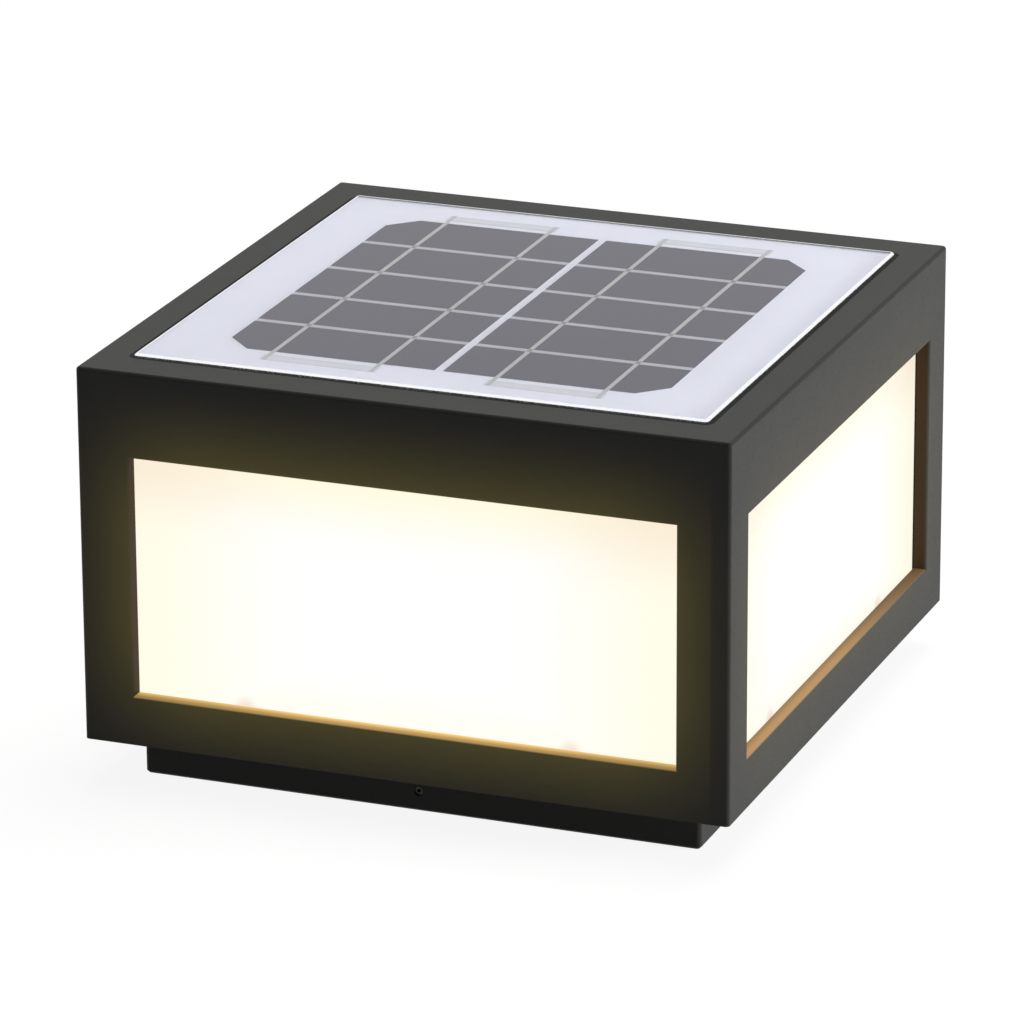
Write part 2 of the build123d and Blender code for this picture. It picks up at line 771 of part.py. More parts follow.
# Bottom plate with the skirt that drops into the plinth
with BuildPart() as bottom_plate:
    with BuildSketch(Plane.XY.offset(plate_bottom)):
        RectangleRounded(plate_side, plate_side, inner_radius)
    extrude(amount=plate_thickness)
    with BuildSketch(Plane.XY.offset(plate_bottom)):
        RectangleRounded(skirt_side, skirt_side, skirt_radius)
        Rectangle(skirt_inner, skirt_inner, mode=Mode.SUBTRACT)
    extrude(amount=base_floor + floor_play - plate_bottom)
    with BuildSketch(Plane.XY.offset(plate_bottom)):
        with Locations((switch_x, switch_y)):
            Circle(plate_hole)
    extrude(amount=plate_thickness, mode=Mode.SUBTRACT)
    with Locations(Plane(origin=(0, 0, plate_bottom), z_dir=(0, 0, -1))):
        with GridLocations(2 * post_at, 2 * post_at, 2, 2):
            CounterSinkHole(
                radius=plate_screw_radius + hole_play,
                counter_sink_radius=plate_head_radius + hole_play,
                depth=plate_thickness,
                counter_sink_angle=90,
            )
bottom_plate.part.label = "bottom_plate"
export_step(bottom_plate.part, "parts/bottom_plate.step")

with BuildPart() as bottom_gasket:
    with BuildSketch(Plane.XY.offset(plate_top)):
        RectangleRounded(plate_side, plate_side, inner_radius)
        Rectangle(inner_side - 2 * gasket_ledge, inner_side - 2 * gasket_ledge, mode=Mode.SUBTRACT)
        with GridLocations(2 * post_at, 2 * post_at, 2, 2):
            Rectangle(post_side - 2 * seat_play, post_side - 2 * seat_play)
            Circle(plate_screw_radius + hole_play, mode=Mode.SUBTRACT)
    extrude(amount=gasket_thickness)
bottom_gasket.part.label = "bottom_gasket"
export_step(bottom_gasket.part, "parts/bottom_gasket.step")

with BuildPart() as bottom_screws:
    with BuildSketch(Plane.XY.offset(plate_bottom)):
        with GridLocations(2 * post_at, 2 * post_at, 2, 2):
            Circle(plate_head_radius)
    extrude(amount=plate_head_radius - plate_screw_radius, taper=45)
    with BuildSketch(Plane.XY.offset(plate_bottom)):
        with GridLocations(2 * post_at, 2 * post_at, 2, 2):
            Circle(plate_screw_radius)
    extrude(amount=plate_thickness + gasket_thickness + plate_screw_grip)
    with BuildSketch(Plane.XY.offset(plate_bottom)):
        with GridLocations(2 * post_at, 2 * post_at, 2, 2):
            cross(plate_head_radius)
    extrude(amount=cross_depth, mode=Mode.SUBTRACT)
bottom_screws.part.label = "bottom_screws"
export_step(bottom_screws.part, "parts/bottom_screws.step")

with BuildPart() as floor_reflector:
    with BuildSketch(Plane.XY.offset(plate_top)):
        Rectangle(reflector_side, reflector_side)
        with Locations((switch_x, switch_y)):
            Circle(nut_flats / 2 + notch_play + hole_play, mode=Mode.SUBTRACT)
    extrude(amount=reflector_thickness)
floor_reflector.part.label = "floor_reflector"
export_step(floor_reflector.part, "parts/floor_reflector.step")

# Push switch: flange and washer below the plate, nut above it
button_bore = button_radius + running_play
switch_bore_depth = button_length - button_reach + button_travel + button_stop
with BuildPart() as switch_body:
    with BuildSketch(Plane.XY.offset(switch_flange_bottom)):
        with Locations((switch_x, switch_y)):
            Circle(switch_flange_radius)
    extrude(amount=switch_flange_thickness)
    with BuildSketch(Plane.XY.offset(switch_flange_bottom)):
        with Locations((switch_x, switch_y)):
            Circle(switch_radius)
    extrude(amount=switch_thread_top - switch_flange_bottom)
    with BuildSketch(Plane.XY.offset(switch_thread_top)):
        with Locations((switch_x, switch_y)):
            Circle(switch_rear_radius)
    extrude(amount=switch_rear)
    with BuildSketch(Plane.XY.offset(switch_flange_bottom)):
        with Locations((switch_x, switch_y)):
            Circle(button_bore)
    extrude(amount=switch_bore_depth, mode=Mode.SUBTRACT)
switch_body.part.label = "switch_body"
export_step(switch_body.part, "parts/switch_body.step")

with BuildPart() as switch_washer:
    with BuildSketch(Plane.XY.offset(plate_bottom)):
        with Locations((switch_x, switch_y)):
            Circle(switch_flange_radius)
            Circle(plate_hole, mode=Mode.SUBTRACT)
    extrude(amount=-switch_washer_thickness)
switch_washer.part.label = "switch_washer"
export_step(switch_washer.part, "parts/switch_washer.step")

with BuildPart() as switch_nut:
    with BuildSketch(Plane.XY.offset(plate_top)):
        with Locations((switch_x, switch_y)):
            RegularPolygon(nut_flats / 2, 6, major_radius=False)
            Circle(switch_radius + thread_play, mode=Mode.SUBTRACT)
    extrude(amount=nut_thickness)
switch_nut.part.label = "switch_nut"
export_step(switch_nut.part, "parts/switch_nut.step")

with BuildPart() as switch_button:
    with BuildSketch(Plane.XY.offset(switch_flange_bottom - button_reach)):
        with Locations((switch_x, switch_y)):
            Circle(button_radius)
    extrude(amount=button_length)
    fillet(switch_button.faces().sort_by(Axis.Z)[0].edges(), button_edge)
switch_button.part.label = "switch_button"
export_step(switch_button.part, "parts/switch_button.step")

# Plinth, a square pan with bolt holes in its floor
with BuildPart() as base_plinth:
    with BuildSketch(Plane.XY):
        RectangleRounded(base_side, base_side, base_radius)
    extrude(amount=plate_bottom)
    chamfer(base_plinth.faces().sort_by(Axis.Z)[0].edges(), base_edge)
    with BuildSketch(Plane.XY.offset(base_floor)):
        RectangleRounded(base_well, base_well, skirt_radius)
    extrude(amount=plate_bottom - base_floor, mode=Mode.SUBTRACT)
    with BuildSketch(Plane.XY):
        with GridLocations(bolt_spacing, bolt_spacing, 2, 2):
            Circle(bolt_hole_radius)
    extrude(amount=base_floor, mode=Mode.SUBTRACT)
    for turn in (0, 2):
        with BuildSketch(side_plane(turn, base_side / 2, lock_screw_height)):
            Circle(lock_screw_radius + running_play)
        extrude(amount=-base_wall, mode=Mode.SUBTRACT)
base_plinth.part.label = "base_plinth"
export_step(base_plinth.part, "parts/base_plinth.step")

# Lock screws, sunk in the plinth's wall, whose tips hold the skirt
lock_screw_length = base_wall - lock_screw_recess + skirt_play - tip_play
for turn in (0, 2):
    with BuildPart() as lock_screw:
        with BuildSketch(side_plane(turn, base_side / 2 - lock_screw_recess, lock_screw_height)):
            Circle(lock_screw_radius)
        extrude(amount=-lock_screw_length)
        outward = Axis(origin=(0, 0, 0), direction=side_plane(turn, 1, 0).z_dir)
        chamfer(lock_screw.faces().sort_by(outward)[0].edges(), lock_tip)
        with BuildSketch(side_plane(turn, base_side / 2 - lock_screw_recess, lock_screw_height)):
            RegularPolygon(lock_socket_radius, 6)
        extrude(amount=-lock_socket_depth, mode=Mode.SUBTRACT)
    lock_screw.part.label = f"lock_screw_{walls[turn]}"
    export_step(lock_screw.part, f"parts/lock_screw_{walls[turn]}.step")
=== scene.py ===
"""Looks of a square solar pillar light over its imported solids. Metres, +Z up, the front window faces -Y."""
import json
import math

import bpy
from mathutils import Matrix, Vector


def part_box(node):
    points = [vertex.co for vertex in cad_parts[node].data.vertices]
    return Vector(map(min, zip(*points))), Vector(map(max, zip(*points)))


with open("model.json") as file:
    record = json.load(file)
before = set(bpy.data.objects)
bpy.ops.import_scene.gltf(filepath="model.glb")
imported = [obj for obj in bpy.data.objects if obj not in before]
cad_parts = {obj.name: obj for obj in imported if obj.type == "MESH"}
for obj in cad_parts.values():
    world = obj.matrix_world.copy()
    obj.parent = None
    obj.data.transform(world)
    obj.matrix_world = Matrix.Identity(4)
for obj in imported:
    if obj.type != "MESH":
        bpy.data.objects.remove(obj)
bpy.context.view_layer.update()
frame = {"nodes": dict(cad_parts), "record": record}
nodes = frame["nodes"]

# Sizes read from the frame
WALL_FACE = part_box("housing")[1].x
HOUSING_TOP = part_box("housing")[1].z
DIFFUSER_LOW, DIFFUSER_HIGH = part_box("diffuser_front")
DIFFUSER_FACE = -DIFFUSER_LOW.y
GLASS_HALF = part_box("solar_glass")[1]
CELL_LOW, CELL_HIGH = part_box("solar_cells")

# Sizes that no box shows: the frame's lip over a diffuser, the clips behind it and the layout of the cells
LIP = 0.004
CLIP_REACH = 0.058
CELL_ROWS = 5
ROW_GAP = 0.003
CENTRE_GAP = 0.003
ROW_PITCH = (CELL_HIGH.y - CELL_LOW.y + ROW_GAP) / CELL_ROWS
FINGER_PITCH = 0.0019

# A window's outline
WINDOW_HALF = DIFFUSER_HIGH.x - LIP
WINDOW_LOW = DIFFUSER_LOW.z + LIP
WINDOW_HIGH = DIFFUSER_HIGH.z - LIP
WINDOW_MIDDLE = (WINDOW_LOW + WINDOW_HIGH) / 2
WINDOW_RISE = (WINDOW_HIGH - WINDOW_LOW) / 2

# Common finish: how much coarser its clouds are than its grain, and the noise levels that its gloss spans
CLOUD_SIZE = 12
CLOUD_DETAIL = 4.0
GRAIN_DETAIL = 2.0
GLOSS_NOISE = (0.25, 0.75)
FINE_NOISE = (0.3, 0.7)

# Charcoal coat, and the darker coat along the roof's rounded edge
COAT_DARK = (0.066, 0.066, 0.064)
COAT_LIGHT = (0.076, 0.076, 0.073)
COAT_GLOSS = 0.1
EDGE_BLACK = (0.012, 0.012, 0.012)
EDGE_SHADE = 0.55
EDGE_START = 0.0014
EDGE_FULL = 0.0008

# Recess of a window: its tint of painted warm light, where its rounded edge starts and ends in depth, and the
# blur of its outline
RECESS_WARM_LIGHT = (0.085, 0.05, 0.026)
RECESS_BLUR = 0.003
ROUND_START = 0.0012
ROUND_END = 0.0002
OUTLINE_START = 0.0005
OUTLINE_END = 0.0015

# Painted warm spill of the lit panels on the walls, weaker on the wall under the key lamp
SPILL_REACH = 0.03
SPILL_STRENGTH = 0.092
SPILL_TINT = (1.0, 0.81, 0.18)
SPILL_KEYED = 0.45
KEYED_BLUR = 0.002

# Painted glow of the sills, with another fall-off on the wall under the key lamp
SILL_FACING = (0.3, 0.95)
SILL_HEIGHT = (0.001, 0.003)
SILL_TINT = (1.0, 0.61, 0.17)
SILL_INNER = 1.0
SILL_OUTER = 0.4
SILL_OUTER_DEPTH = 0.0006
SILL_END = 0.75
SILL_END_START = 0.3
SILL_KEYED_TINT = (1.0, 0.58, 0.22)
SILL_KEYED_INNER = 0.22
SILL_KEYED_INNER_DEPTH = 0.0005
SILL_KEYED_OUTER = 0.4
SILL_KEYED_OUTER_DEPTH = 0.0015
SILL_KEYED_END = 0.25
SILL_KEYED_END_START = -0.2

# Lit panel: its tints, and where each starts and is full in shares of the window's half width or half height
PANEL_WHITE = (1.0, 1.0, 0.99)
PANEL_CREAM = (1.0, 0.97, 0.75)
PANEL_PEACH = (0.96, 0.84, 0.68)
PANEL_UNLIT = (0.03, 0.029, 0.026)
PANEL_GLOSS = 0.1
SIDE_SPAN = (0.35, 1.0)
SIDE_SHARE = 0.75
TOP_SPAN = (0.4, 1.05)
FOOT_SPAN = (-0.6, -1.0)
FOOT_SHARE = 0.35
CORNER_RISE_SPAN = (0.25, 0.98)
CORNER_SIDE_SPAN = (0.3, 1.0)
CORNER_LEAST = 0.12
PANEL_KEYED = 0.955
PANEL_KEYED_DEPTHS = (0.006, 0.004)

# Shadows of the clips behind a lit panel
CLIP_TINT = (0.86, 0.68, 0.55)
CLIP_SHADE = 0.6
CLIP_DROP = 0.001
CLIP_SPAN = (0.001, 0.0055)

# Solar panel: its glass, with the width of its polished edge and the depth of its underside, then its cells
GLASS_TINT = (0.97, 0.98, 1.0)
GLASS_INDEX = 1.42
GLASS_POLISH = 0.0011
GLASS_SEEN = 0.0006
LEVEL_FACING = 0.95
CELL_DARK = (0.008, 0.005, 0.034)
CELL_LIGHT = (0.018, 0.013, 0.05)
CELL_GLOSS = 0.04
FINGER_TINT = (0.2, 0.2, 0.22)
FINGER_SHARE = 0.03
GAP_BLACK = (0.02, 0.02, 0.02)
GAP_SHADE = 0.45
DIP_SHADE = 0.55

# Stage
FLOOR_REACH = 30.0
FLOOR_LEVEL = -0.0001
FLOOR_BOUNCE = 0.25
FLOOR_PALE = 0.22
FLOOR_LIFT = 0.9
WORLD_LIGHT = 0.08

# Camera, fitted to the housing's corners in the photo
CAMERA_AZIMUTH = math.radians(21.145)
CAMERA_ELEVATION = math.radians(19.396)
CAMERA_ROLL = math.radians(-0.308)
CAMERA_EYE = Vector((0.7578, -1.9728, 0.8178))
CAMERA_LENS = 229.59


# Shader building blocks

def new_material(name):
    """A material with its node tree and its one principled shader."""
    material = bpy.data.materials.new(name)
    material.use_nodes = True
    return material, material.node_tree, material.node_tree.nodes["Principled BSDF"]


def feed(tree, socket, value):
    """Links a socket to an input, or writes a plain number or colour on it."""
    if isinstance(value, bpy.types.NodeSocket):
        tree.links.new(value, socket)
    else:
        socket.default_value = value


def calc(tree, operation, first, second=0.0):
    """One math node, fed with sockets or numbers."""
    node = tree.nodes.new("ShaderNodeMath")
    node.operation = operation
    for socket, value in zip(node.inputs, (first, second)):
        feed(tree, socket, value)
    return node.outputs[0]


def product(tree, first, *others):
    """All given sockets or numbers multiplied."""
    for value in others:
        first = calc(tree, "MULTIPLY", first, value)
    return first


def ramp(tree, value, low, high, start=0.0, end=1.0):
    """Maps a value smoothly from low..high to start..end, held at both ends."""
    node = tree.nodes.new("ShaderNodeMapRange")
    node.interpolation_type = "SMOOTHSTEP"
    for name, given in (("From Min", low), ("From Max", high), ("To Min", start), ("To Max", end)):
        node.inputs[name].default_value = given
    feed(tree, node.inputs["Value"], value)
    return node.outputs[0]


def blend_colours(tree, share, first, second, how="MIX"):
    """Two colours mixed by a share. A socket of numbers counts as a grey."""
    node = tree.nodes.new("ShaderNodeMix")
    node.data_type = "RGBA"
    node.blend_type = how
    feed(tree, node.inputs["Factor"], share)
    for socket, colour in zip(node.inputs[6:8], (first, second)):
        feed(tree, socket, colour if isinstance(colour, bpy.types.NodeSocket) else (*colour, 1))
    return node.outputs[2]


def blend_shaders(tree, share, first, second):
    """Two shaders mixed by a share."""
    node = tree.nodes.new("ShaderNodeMixShader")
    for socket, value in zip(node.inputs, (share, first, second)):
        feed(tree, socket, value)
    return node.outputs[0]


def tinted(tree, strength, tint):
    """A colour whose brightness is a strength."""
    node = tree.nodes.new("ShaderNodeCombineColor")
    for socket, share in zip(node.inputs, tint):
        feed(tree, socket, product(tree, strength, share))
    return node.outputs[0]


def place(tree):
    """The vector to the shaded point in the row frame, and its x, y and z."""
    where = tree.nodes.new("ShaderNodeTexCoord").outputs["Object"]
    split = tree.nodes.new("ShaderNodeSeparateXYZ")
    tree.links.new(where, split.inputs[0])
    return where, *split.outputs


def facing_up(tree):
    """How far the surface faces up: 1 for level, 0 for upright, -1 for an underside."""
    split = tree.nodes.new("ShaderNodeSeparateXYZ")
    tree.links.new(tree.nodes.new("ShaderNodeNewGeometry").outputs["True Normal"], split.inputs[0])
    return split.outputs[2]


def grain(tree, where, scale, detail=3.0, stretch=(1, 1, 1)):
    """Cloudy noise at a scale per metre, optionally drawn out along an axis."""
    node = tree.nodes.new("ShaderNodeTexNoise")
    node.inputs["Scale"].default_value = scale
    node.inputs["Detail"].default_value = detail
    if stretch != (1, 1, 1):
        shape = tree.nodes.new("ShaderNodeMapping")
        shape.inputs["Scale"].default_value = stretch
        tree.links.new(where, shape.inputs[0])
        where = shape.outputs[0]
    tree.links.new(where, node.inputs["Vector"])
    return node.outputs["Fac"]


def raise_bumps(tree, shader, height, strength, depth):
    """Bends the shader's normal by a height."""
    bump = tree.nodes.new("ShaderNodeBump")
    bump.inputs["Strength"].default_value = strength
    bump.inputs["Distance"].default_value = depth
    tree.links.new(height, bump.inputs["Height"])
    tree.links.new(bump.outputs[0], shader.inputs["Normal"])


def finish_surface(tree, shader, where, dark, light, rough, scale, bump, depth, stretch=(1, 1, 1)):
    """The common finish: an uneven gloss, a fine grain and a slightly uneven colour, which it returns."""
    cloud = grain(tree, where, scale / CLOUD_SIZE, CLOUD_DETAIL)
    fine = grain(tree, where, scale, GRAIN_DETAIL, stretch)
    colour = blend_colours(tree, cloud, dark, light)
    feed(tree, shader.inputs["Base Color"], colour)
    feed(tree, shader.inputs["Roughness"], ramp(tree, fine, *GLOSS_NOISE, *rough))
    raise_bumps(tree, shader, fine, bump, depth)
    return colour


def plain_surface(
    name, dark, light, rough, scale, bump, depth=0.0002, metal=0.0, stretch=(1, 1, 1), gloss=0.5
):
    """A material with only the common finish."""
    material, tree, shader = new_material(name)
    shader.inputs["Metallic"].default_value = metal
    shader.inputs["Specular IOR Level"].default_value = gloss
    where, *_ = place(tree)
    finish_surface(tree, shader, where, dark, light, rough, scale, bump, depth, stretch)
    return material


# Coat

def by_window(tree, x, y, z):
    """A point's place on its wall: along it, outwards, how near the window, and 1 inside its outline."""
    across_x, across_y = calc(tree, "ABSOLUTE", x), calc(tree, "ABSOLUTE", y)
    along = calc(tree, "MINIMUM", across_x, across_y)
    outward = calc(tree, "MAXIMUM", across_x, across_y)
    height = calc(tree, "ABSOLUTE", calc(tree, "SUBTRACT", z, WINDOW_MIDDLE))
    near, opening = 1.0, 1.0
    for reach, half in ((along, WINDOW_HALF), (height, WINDOW_RISE)):
        near = product(tree, near, ramp(tree, reach, half - SPILL_REACH, half + SPILL_REACH, 1.0, 0.0))
        inside = ramp(tree, reach, half + OUTLINE_START, half + OUTLINE_END, 1.0, 0.0)
        opening = product(tree, opening, inside)
    return along, outward, near, opening


def sill_glow(tree, along, outward, y, z, opening, keyed):
    """Painted glow of the sill, a painted reflection of the panel on the one part of the recess that faces up
    and mirrors it.
    """
    low, high = SILL_HEIGHT
    sill = product(
        tree,
        ramp(tree, facing_up(tree), *SILL_FACING),
        opening,
        ramp(tree, z, WINDOW_LOW + low, WINDOW_LOW + high, 1.0, 0.0),
    )
    plain = product(
        tree,
        ramp(tree, outward, DIFFUSER_FACE, WALL_FACE - SILL_OUTER_DEPTH, SILL_INNER, SILL_OUTER),
        ramp(tree, along, SILL_END_START * WINDOW_HALF, WINDOW_HALF, 1.0, SILL_END),
    )
    # On the wall under the key lamp it is dull by the panel and towards its far end
    inner, outer = DIFFUSER_FACE + SILL_KEYED_INNER_DEPTH, WALL_FACE - SILL_KEYED_OUTER_DEPTH
    dull = product(
        tree,
        ramp(tree, outward, inner, outer, SILL_KEYED_INNER, SILL_KEYED_OUTER),
        ramp(tree, y, SILL_KEYED_END_START * WINDOW_HALF, WINDOW_HALF, 1.0, SILL_KEYED_END),
    )
    change = product(tree, keyed, calc(tree, "SUBTRACT", dull, plain))
    level = product(tree, sill, calc(tree, "ADD", plain, change))
    return blend_colours(tree, 1.0, blend_colours(tree, keyed, SILL_TINT, SILL_KEYED_TINT), level, "MULTIPLY")


def charcoal_coat(name, lit):
    """Fine-textured charcoal powder coat. Lit, it also carries painted light: the lamp's warm spill round
    each window.
    """
    material, tree, shader = new_material(name)
    shader.inputs["Specular IOR Level"].default_value = COAT_GLOSS
    where, x, y, z = place(tree)
    plain = finish_surface(
        tree, shader, where, dark=COAT_DARK, light=COAT_LIGHT,
        rough=(0.5, 0.62), scale=1500, bump=0.12, depth=0.00015,
    )
    if not lit:
        return material
    along, outward, near, opening = by_window(tree, x, y, z)
    # The coat is darker along the roof's rounded edge
    roof_edge = WALL_FACE + HOUSING_TOP
    corner = calc(tree, "ADD", outward, z)
    edge = ramp(tree, corner, roof_edge - EDGE_START, roof_edge - EDGE_FULL, 0.0, EDGE_SHADE)
    plain = blend_colours(tree, edge, plain, EDGE_BLACK)
    # Painted light: inside a window's recess the neutral coat is tinted brown for the panels' warm light
    # there
    recess = product(
        tree,
        ramp(tree, outward, DIFFUSER_FACE - RECESS_BLUR, DIFFUSER_FACE),
        ramp(tree, outward, WALL_FACE - ROUND_START, WALL_FACE - ROUND_END, 1.0, 0.0),
        opening,
    )
    feed(tree, shader.inputs["Base Color"], blend_colours(tree, recess, plain, RECESS_WARM_LIGHT))
    # Painted light of the panels, as glow on the wall's face and on the sill
    face = ramp(tree, outward, WALL_FACE - ROUND_START, WALL_FACE - ROUND_END)
    keyed = ramp(tree, x, DIFFUSER_FACE - KEYED_BLUR, DIFFUSER_FACE)
    spill = product(tree, near, SPILL_STRENGTH, face, ramp(tree, keyed, 0.0, 1.0, 1.0, SPILL_KEYED))
    sill = sill_glow(tree, along, outward, y, z, opening, keyed)
    glow = blend_colours(tree, 1.0, tinted(tree, spill, SPILL_TINT), sill, "ADD")
    tree.links.new(glow, shader.inputs["Emission Color"])
    shader.inputs["Emission Strength"].default_value = 1.0
    return material


# Lit panel

def clip_shadow(tree, along, z):
    """Share of the shadow of the two clips that stand behind a panel's lower edge."""
    aside = calc(tree, "SUBTRACT", along, CLIP_REACH)
    under = calc(tree, "SUBTRACT", z, WINDOW_LOW - CLIP_DROP)
    square = calc(tree, "ADD", product(tree, aside, aside), product(tree, under, under))
    return ramp(tree, calc(tree, "SQRT", square), *CLIP_SPAN, CLIP_SHADE, 0.0)


def opal_acrylic():
    """Opal acrylic lit from behind: white in the middle, cream at its edges, peach in its upper corners."""
    material, tree, shader = new_material("opal_acrylic")
    where, x, y, z = place(tree)
    along = calc(tree, "MINIMUM", calc(tree, "ABSOLUTE", x), calc(tree, "ABSOLUTE", y))
    aside = calc(tree, "DIVIDE", along, WINDOW_HALF)
    rise = calc(tree, "DIVIDE", calc(tree, "SUBTRACT", z, WINDOW_MIDDLE), WINDOW_RISE)
    edge = ramp(tree, aside, *SIDE_SPAN, 0.0, SIDE_SHARE)
    for other in (ramp(tree, rise, *TOP_SPAN), ramp(tree, rise, *FOOT_SPAN, 0.0, FOOT_SHARE)):
        edge = calc(tree, "MAXIMUM", edge, other)
    corner = product(
        tree, ramp(tree, rise, *CORNER_RISE_SPAN), ramp(tree, aside, *CORNER_SIDE_SPAN, CORNER_LEAST, 1.0)
    )
    light = blend_colours(tree, edge, PANEL_WHITE, PANEL_CREAM)
    light = blend_colours(tree, corner, light, PANEL_PEACH)
    light = blend_colours(tree, clip_shadow(tree, along, z), light, CLIP_TINT)
    # The panel under the key lamp glows less, as it also returns some of that light
    deep, shallow = PANEL_KEYED_DEPTHS
    keyed = ramp(tree, x, DIFFUSER_FACE - deep, DIFFUSER_FACE - shallow, 1.0, PANEL_KEYED)
    light = blend_colours(tree, 1.0, light, keyed, "MULTIPLY")
    tree.links.new(light, shader.inputs["Emission Color"])
    shader.inputs["Emission Strength"].default_value = 1.0
    shader.inputs["Base Color"].default_value = (*PANEL_UNLIT, 1)
    shader.inputs["Specular IOR Level"].default_value = PANEL_GLOSS
    fine = grain(tree, where, scale=700)
    feed(tree, shader.inputs["Roughness"], ramp(tree, fine, *FINE_NOISE, start=0.32, end=0.42))
    raise_bumps(tree, shader, fine, strength=0.03, depth=0.0001)
    return material


# Solar panel

def solar_glass():
    """Solar glass bonded to the cells: its top mirrors, its polished edge shines, its underside is clear."""
    material, tree, shader = new_material("solar_glass")
    shader.inputs["Base Color"].default_value = (*GLASS_TINT, 1)
    shader.inputs["Roughness"].default_value = 0.0
    shader.inputs["IOR"].default_value = GLASS_INDEX
    shader.inputs["Transmission Weight"].default_value = 1.0
    where, x, y, z = place(tree)
    edge = tree.nodes.new("ShaderNodeBsdfPrincipled")
    edge.inputs["Metallic"].default_value = 1.0
    finish_surface(
        tree, edge, where, dark=(0.92, 0.93, 0.95), light=(0.97, 0.97, 0.98),
        rough=(0.18, 0.3), scale=1500, bump=0.01, depth=0.0001,
    )
    flat = calc(tree, "GREATER_THAN", calc(tree, "ABSOLUTE", facing_up(tree)), LEVEL_FACING)
    for reach, half in ((x, GLASS_HALF.x), (y, GLASS_HALF.y)):
        inside = calc(tree, "LESS_THAN", calc(tree, "ABSOLUTE", reach), half - GLASS_POLISH)
        flat = product(tree, flat, inside)
    under = calc(tree, "LESS_THAN", z, HOUSING_TOP - GLASS_SEEN)
    clear = tree.nodes.new("ShaderNodeBsdfTransparent")
    outside = blend_shaders(tree, flat, edge.outputs[0], shader.outputs[0])
    seen = blend_shaders(tree, under, outside, clear.outputs[0])
    path = tree.nodes.new("ShaderNodeLightPath")
    whole = blend_shaders(tree, path.outputs["Is Shadow Ray"], seen, clear.outputs[0])
    tree.links.new(whole, tree.nodes["Material Output"].inputs[0])
    return material


def silicon_cell():
    """Dark silicon with fine printed contact lines across it."""
    material, tree, shader = new_material("silicon_cell")
    shader.inputs["Specular IOR Level"].default_value = CELL_GLOSS
    where, _, y, _ = place(tree)
    base = blend_colours(tree, grain(tree, where, scale=35, detail=CLOUD_DETAIL), CELL_DARK, CELL_LIGHT)
    phase = product(tree, calc(tree, "SUBTRACT", y, CELL_LOW.y), 2 * math.pi / FINGER_PITCH)
    line = ramp(tree, calc(tree, "COSINE", phase), low=0.5, high=1.0, end=FINGER_SHARE)
    feed(tree, shader.inputs["Base Color"], blend_colours(tree, line, base, FINGER_TINT))
    rough = ramp(tree, grain(tree, where, scale=500), *FINE_NOISE, start=0.3, end=0.42)
    feed(tree, shader.inputs["Roughness"], rough)
    raise_bumps(tree, shader, grain(tree, where, scale=1200), strength=0.015, depth=0.0001)
    return material


def row_gaps(tree, x, y):
    """1 in the narrow gaps between the rows of cells, 0 elsewhere."""
    step = calc(tree, "FRACT", calc(tree, "DIVIDE", calc(tree, "SUBTRACT", y, CELL_LOW.y), ROW_PITCH))
    gap = calc(tree, "GREATER_THAN", step, 1 - ROW_GAP / ROW_PITCH)
    for reach, half in ((x, CELL_HIGH.x), (y, CELL_HIGH.y)):
        gap = product(tree, gap, calc(tree, "LESS_THAN", calc(tree, "ABSOLUTE", reach), half))
    return gap


def white_sheet():
    """White backsheet, greyer where it lies in the cells' shade between their rows."""
    material, tree, shader = new_material("white_backsheet")
    where, x, y, _ = place(tree)
    plain = finish_surface(
        tree, shader, where, dark=(0.78, 0.79, 0.89), light=(0.82, 0.83, 0.93),
        rough=(0.45, 0.55), scale=600, bump=0.03, depth=0.0002,
    )
    column = calc(tree, "GREATER_THAN", calc(tree, "ABSOLUTE", x), CENTRE_GAP / 2)
    shade = product(tree, row_gaps(tree, x, y), column, GAP_SHADE)
    feed(tree, shader.inputs["Base Color"], blend_colours(tree, shade, plain, GAP_BLACK))
    return material


def tinned_ribbon():
    """Tinned ribbon over the cells, with painted shade where it dips between two rows."""
    material, tree, shader = new_material("tinned_ribbon")
    shader.inputs["Metallic"].default_value = 0.2
    where, x, y, _ = place(tree)
    plain = finish_surface(
        tree, shader, where, dark=(0.42, 0.42, 0.425), light=(0.5, 0.5, 0.505),
        rough=(0.35, 0.5), scale=1800, bump=0.1, depth=0.0001, stretch=(1, 0.1, 1),
    )
    # Painted shade where the ribbon dips into the gap between two rows
    dip_shadow = product(tree, row_gaps(tree, x, y), DIP_SHADE)
    feed(tree, shader.inputs["Base Color"], blend_colours(tree, dip_shadow, plain, GAP_BLACK))
    return material


# Pieces inside the head

def printed_board(name, dark, light):
    """Solder mask with the faint relief of tracks under it."""
    material, tree, shader = new_material(name)
    where, *_ = place(tree)
    tracks = tree.nodes.new("ShaderNodeTexBrick")
    tracks.inputs["Scale"].default_value = 160
    tracks.inputs["Mortar Size"].default_value = 0.06
    tree.links.new(where, tracks.inputs["Vector"])
    feed(tree, shader.inputs["Base Color"], blend_colours(tree, tracks.outputs["Fac"], dark, light))
    rough = ramp(tree, grain(tree, where, scale=600), *FINE_NOISE, start=0.25, end=0.38)
    feed(tree, shader.inputs["Roughness"], rough)
    raise_bumps(tree, shader, tracks.outputs["Fac"], strength=0.1, depth=0.0001)
    return material


def phosphor():
    """An LED package: a yellow phosphor, glowing."""
    material, tree, shader = new_material("led_yellow")
    where, *_ = place(tree)
    finish_surface(
        tree, shader, where, dark=(0.86, 0.66, 0.2), light=(0.95, 0.78, 0.3),
        rough=(0.3, 0.4), scale=900, bump=0.05, depth=0.0001,
    )
    shader.inputs["Emission Color"].default_value = (1.0, 0.82, 0.55, 1)
    shader.inputs["Emission Strength"].default_value = 1.0
    return material


